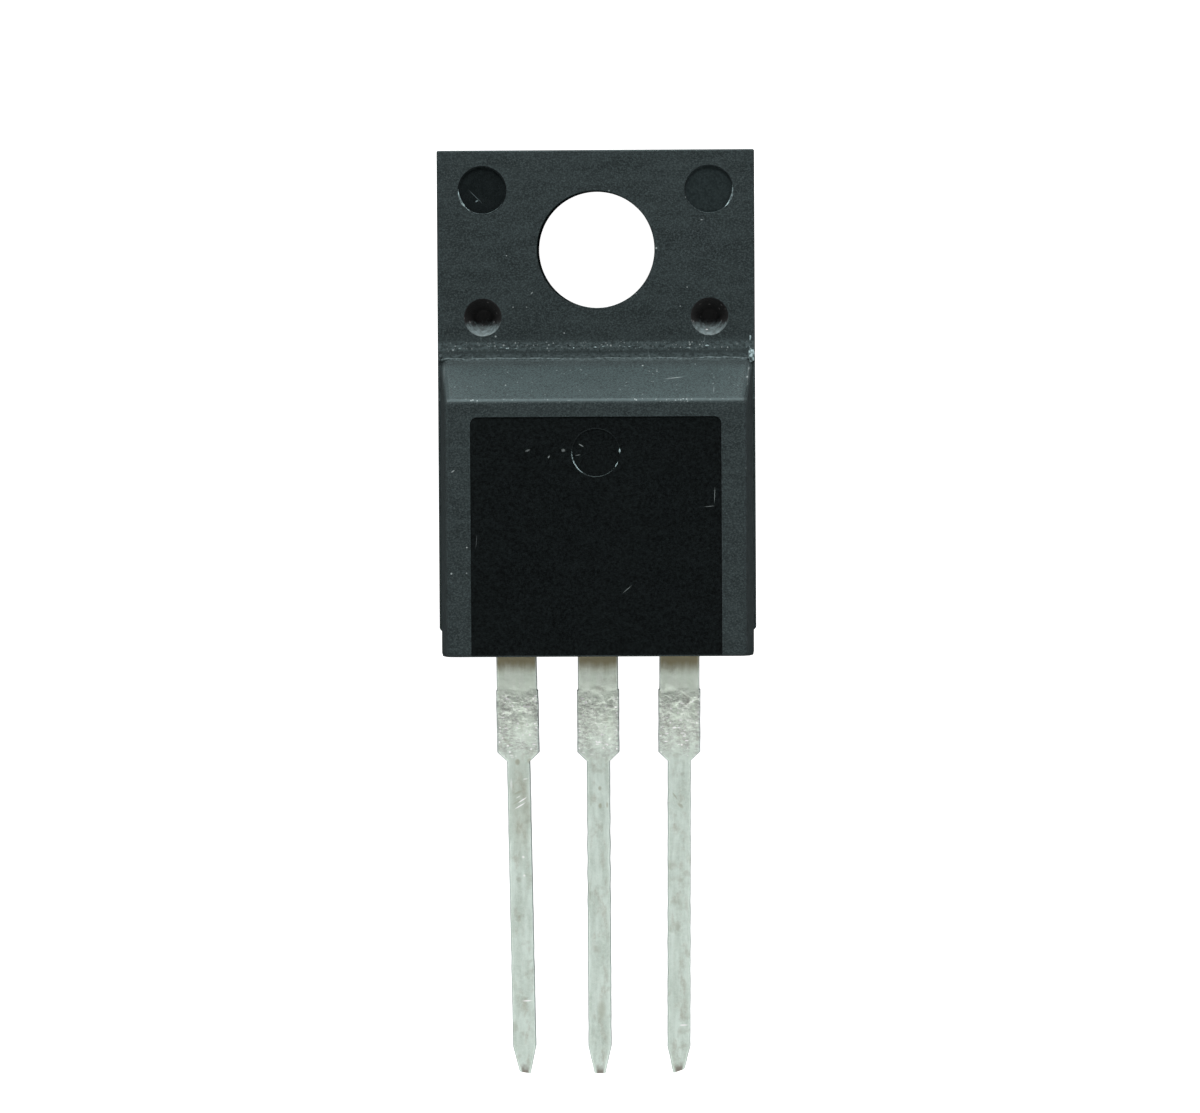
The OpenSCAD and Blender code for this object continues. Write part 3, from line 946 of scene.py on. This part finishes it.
def follow(knots, place):
    """Value at a place on the straight lines through (place, value) knots."""
    for (start, first), (end, last) in zip(knots, knots[1:]):
        if place <= end:
            return first + (last - first) * max(place - start, 0) / (end - start)
    return knots[-1][1]


def lead_section(half_w, back, front, edge_r):
    """Section of a lead with rounded edges, as (x, z) points, closely spaced across the front."""
    across_steps = 14
    arc_steps = 3
    flat = half_w - edge_r
    points = [(flat * (2 * i / across_steps - 1), front) for i in range(across_steps + 1)]
    arcs = []
    high = front - edge_r
    low = back + edge_r
    for side, level, start in ((1, high, 90), (1, low, 0), (-1, low, -90), (-1, high, -180)):
        for i in range(arc_steps + 1):
            turn = math.radians(start - 90 * i / arc_steps)
            arcs.append((side * flat + edge_r * math.cos(turn), level + edge_r * math.sin(turn)))
    return points + arcs[1:-1]


def lead_solid(name, middles, widths, backs, fronts, cut, seed):
    """Stamped lead with a dented tie-bar zone and a sheared tip.

    The lists hold (distance from the lead end of the body, value) knots; distances inside the body are
    negative. cut is how much shorter the tip is on one side, the right one where it is above 0.
    """
    widths = [
        *widths,
        (ROOT_L, ROOT_W),
        (ROOT_L + TIE_BURR, ROOT_W + 2 * TIE_BURR),
        (TIE_END, ROOT_W + 2 * TIE_BURR),
        (TIE_END + SHOULDER_L, PIN_W),
        (LEAD_L - TIP_L, PIN_W),
        (LEAD_L, TIP_W),
    ]
    inner_l = -widths[0][0]
    count = round((LEAD_L + inner_l) / RING_SPACING)
    even = {round((LEAD_L + inner_l) * i / count - inner_l, 4) for i in range(count + 1)}
    bends = {round(knot[0], 4) for knots in (middles, widths, backs, fronts) for knot in knots}
    rings = []
    alongs = []
    shares = []
    for place in sorted(even | bends):
        off_tie = abs(place - (ROOT_L + TIE_END) / 2) / (TIE_L / 2 + 0.15)
        dented = min(1.0, max(0.0, 4 - 4 * off_tie))
        wobble = WIDTH_WOBBLE * noise.noise(Vector((place * 2.3, seed, 1))) * min(1, max(0, place))
        half_w = follow(widths, place) / 2 + wobble
        back = follow(backs, place)
        front = follow(fronts, place)
        edge_r = LEAD_EDGE_R * (1 + 0.3 * noise.noise(Vector((place * 3, seed, 9))))
        in_tip = max(0.0, (place - (LEAD_L - TIP_L)) / TIP_L)
        ring = []
        for x, z in lead_section(half_w, back, front, edge_r):
            share = x / half_w
            if place > 0 and z > (back + front) / 2:
                spot = Vector((x * 4 + seed * 7, place * 3.2, z))
                low = min(0.0, noise.fractal(spot, 1, 2, 4) - 0.1)
                z += (SURFACE_WOBBLE + DENT_DEPTH * dented) * low
            pull = in_tip * (abs(cut) + cut * share) / 2
            ring.append(Vector((follow(middles, place) + x, LEAD_END - place + pull, z)))
            alongs.append(place)
            shares.append(share)
        rings.append(ring)
    lead = solid(name, rings)
    for label, values in (("along", alongs), ("across", shares)):
        layer = lead.data.attributes.new(label, "FLOAT", "POINT")
        layer.data.foreach_set("value", values)
    return lead


def outer_lead(name, node, side, lean, cut, tin):
    """Gate or source lead, with its bond post inside the body."""
    inner_l = POST_COVER + POST_L
    neck = POST_COVER + 0.01
    x = side * LEAD_PITCH
    post_x = side * (LEAD_PITCH + POST_SHIFT)
    middles = [(-inner_l, post_x), (-neck, post_x), (-POST_COVER, x), (0, x), (LEAD_L, x + lean)]
    widths = [(-inner_l, POST_W), (-neck, POST_W), (-POST_COVER, ROOT_W)]
    backs = [(-inner_l, LEAD_Z - LEAD_T / 2), (LEAD_L, LEAD_Z - LEAD_T / 2)]
    fronts = [(-inner_l, LEAD_Z + LEAD_T / 2), (LEAD_L, LEAD_Z + LEAD_T / 2)]
    lead = lead_solid(name, middles, widths, backs, fronts, cut, side + 2)
    painted(lead, tin)
    finish_piece(lead, "tinned_copper", node)


def heat_spreader(tin):
    """Copper plate under the die, cut out round the screw hole."""
    steps = 40
    open_at = math.asin(SPREADER_END / SPREADER_CUT_R)
    foot = LEAD_END + SPREADER_COVER
    outline = [
        (-SPREADER_HALF_W, SPREADER_END),
        (-SPREADER_HALF_W, foot),
        (SPREADER_HALF_W, foot),
        (SPREADER_HALF_W, SPREADER_END),
    ]
    for i in range(steps + 1):
        turn = open_at - (math.pi + 2 * open_at) * i / steps
        outline.append((SPREADER_CUT_R * math.cos(turn), SPREADER_CUT_R * math.sin(turn)))
    rings = [[(x, y, z) for x, y in outline] for z in (SPREADER_BACK, SPREADER_FRONT)]
    return painted(solid("heat_spreader", rings), tin)


def drain_frame(tin):
    """Middle lead, the sloping bridge and the heat spreader, in one piece."""
    drop = LEAD_Z + LEAD_T / 2 - SPREADER_FRONT
    run = SPREADER_COVER - DRAIN_INNER_L
    shift = LEAD_T * math.tan(math.atan2(drop, run) / 2)
    inner_l = SPREADER_COVER + LEAD_T
    fronts = [
        (-inner_l, SPREADER_FRONT),
        (-SPREADER_COVER, SPREADER_FRONT),
        (-DRAIN_INNER_L, LEAD_Z + LEAD_T / 2),
        (LEAD_L, LEAD_Z + LEAD_T / 2),
    ]
    backs = [
        (-inner_l, SPREADER_FRONT - LEAD_T),
        (shift - SPREADER_COVER, SPREADER_FRONT - LEAD_T),
        (shift - DRAIN_INNER_L, LEAD_Z - LEAD_T / 2),
        (LEAD_L, LEAD_Z - LEAD_T / 2),
    ]
    widths = [(-inner_l, ROOT_W)]
    lead = lead_solid("drain_frame_tinned", [(-inner_l, 0), (LEAD_L, 0)], widths, backs, fronts, 0, 2)
    painted(lead, tin)
    combine(lead, [heat_spreader(tin)], "UNION")
    finish_piece(lead, "tinned_copper", "drain_frame")


def dress_inner_parts():
    """Materials of the CAD nodes that stay, all sealed in the body."""
    bond = plain_metal("bond_aluminium", (0.5, 0.51, 0.53, 1), (0.7, 0.71, 0.73, 1), 0.3, 1)
    paste = plain_metal("die_solder", (0.3, 0.31, 0.33, 1), (0.5, 0.51, 0.53, 1), 0.45, 3)
    coats = {
        "mosfet_die": silicon(),
        "die_attach_solder": paste,
        "gate_bond_wire": bond,
        "source_bond_wire_1": bond,
        "source_bond_wire_2": bond,
    }
    for name, coat in coats.items():
        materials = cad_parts[name].data.materials
        materials.clear()
        materials.append(coat)


def make_camera():
    camera = bpy.data.objects.new("camera", bpy.data.cameras.new("camera"))
    bpy.context.scene.collection.objects.link(camera)
    camera.location = Vector(CAMERA_PLACE) * MM
    camera.rotation_euler = [math.radians(turn) for turn in CAMERA_TURN_DEG]
    camera.data.lens = CAMERA_LENS
    camera.data.clip_start = 0.01
    camera.data.clip_end = 20
    bpy.context.scene.camera = camera


def make_floor():
    """Plain white floor, lit from within so that it shows white all round and through the screw hole.

    The real ground was dark, so the floor is left out of the reflections on the body's steep sides.
    """
    half = 3000
    top = -0.01
    thickness = 10
    floor = solid("floor", [
        [(half, half, z), (-half, half, z), (-half, -half, z), (half, -half, z)]
        for z in (top - thickness, top)
    ])
    floor.data.transform(Matrix.Scale(MM, 4))
    floor.visible_glossy = False
    material, n = new_material("floor")
    n.surface(Base_Color=grey(0.3), Roughness=0.9, Emission_Color=WHITE, Emission_Strength=1.0)
    painted(floor, material)


def make_light():
    """Ring of soft light round a dark patch overhead, a low lamp at the tab end and a key light above it."""
    world = bpy.data.worlds.new("studio")
    world.use_nodes = True
    bpy.context.scene.world = world
    n = Nodes(world.node_tree)
    direction = n.add("ShaderNodeTexCoord").outputs["Generated"]
    up = n.axis(direction, "Z")
    to_tab = n.axis(direction, "Y")
    overhead = n.between(n.smooth(up, 0.82, 0.94), 1.0, PATCH_LIGHT)
    ground = n.smooth(up, -0.4, -0.05)
    side = n.between(n.smooth(to_tab, -0.7, 0.3), LEAD_SIDE_LIGHT, TAB_SIDE_LIGHT)
    low_lamp = n.between(n.smooth(to_tab, 0.6, 0.95), 0.0, LOW_LAMP_LIGHT)
    strength = n.math("ADD", n.times(overhead, ground, side), low_lamp)
    background = n.add("ShaderNodeBackground", {"Color": WHITE, "Strength": strength})
    n.add("ShaderNodeOutputWorld", {"Surface": background.outputs[0]})

    key = bpy.data.objects.new("key", bpy.data.lights.new("key", "AREA"))
    bpy.context.scene.collection.objects.link(key)
    key.data.shape = "DISK"
    key.data.size = 0.12
    key.data.energy = KEY_WATTS
    key.location = (0, 0.33, 0.23)
    key.rotation_euler = (Vector((0, -0.005, 0)) - key.location).to_track_quat("-Z", "Y").to_euler()


make_camera()
make_floor()
make_light()
epoxy_package()
tin = tin_plate()
outer_lead("gate_lead_tinned", "gate_lead", -1, 0.2, -0.06, tin)
drain_frame(tin)
outer_lead("source_lead_tinned", "source_lead", 1, -0.08, 0.12, tin)
dress_inner_parts()
bpy.context.scene.view_settings.view_transform = "Standard"
